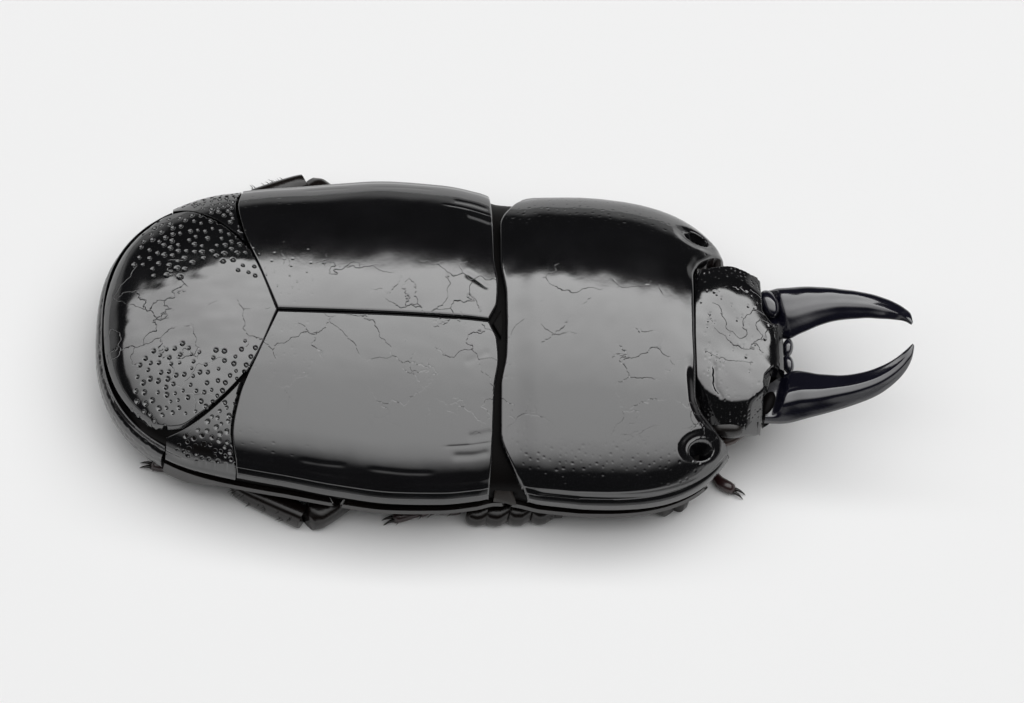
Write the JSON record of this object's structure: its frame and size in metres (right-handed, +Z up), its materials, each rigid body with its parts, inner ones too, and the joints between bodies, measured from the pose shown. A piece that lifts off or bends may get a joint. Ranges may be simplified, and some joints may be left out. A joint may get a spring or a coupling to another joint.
{
  "type": "hololepta lissopyga beetle",
  "caption": "Flat, oblong, glossy black beetle lying on its folded legs, with long curved mandibles, cut-off wing cases and a large rounded rear plate.",
  "frame": {"origin": "on the floor, at the middle of the bounding box, on the body's midline", "axes": "+X towards the head and mandibles, +Y to the beetle's left, +Z up"},
  "size_m": [0.013, 0.0064, 0.0021],
  "materials": {
    "shell": "deep black chitin, polished, with fine scratches and punctures",
    "underside": "black chitin, slightly duller than the back",
    "mandible": "polished black, with a faint violet sheen towards the tips",
    "leg": "black, semi-gloss",
    "tarsus": "dark reddish brown, semi-gloss",
    "antenna": "dark reddish brown, fine matt down on the club",
    "palp": "dark reddish brown",
    "eye": "black, finely faceted",
    "side_sclerite": "dark greyish brown, dull"
  },
  "bodies": {
    "root": {"abdomen": "underside", "antenna_left": "antenna", "antenna_right": "antenna", "elytron_left": "shell", "elytron_right": "shell", "eye_left": "eye", "eye_right": "eye", "femur_fore_left": "leg", "femur_fore_right": "leg", "femur_hind_left": "leg", "femur_hind_right": "leg", "femur_mid_left": "leg", "femur_mid_right": "leg", "head": "shell", "labrum": "mandible", "mandible_left": "mandible", "mandible_right": "mandible", "mesepimeron_left": "side_sclerite", "mesepimeron_right": "side_sclerite", "metasternum": "underside", "palp_left": "palp", "palp_right": "palp", "pronotum": "shell", "propygidium": "shell", "prosternum": "underside", "pygidium": "shell", "scutellum": "shell", "tarsus_fore_left": "tarsus", "tarsus_fore_right": "tarsus", "tarsus_hind_left": "tarsus", "tarsus_hind_right": "tarsus", "tarsus_mid_left": "tarsus", "tarsus_mid_right": "tarsus", "tergite_left": "shell", "tergite_right": "shell", "tibia_fore_left": "leg", "tibia_fore_right": "leg", "tibia_hind_left": "leg", "tibia_hind_right": "leg", "tibia_mid_left": "leg", "tibia_mid_right": "leg"}
  },
  "joints": []
}
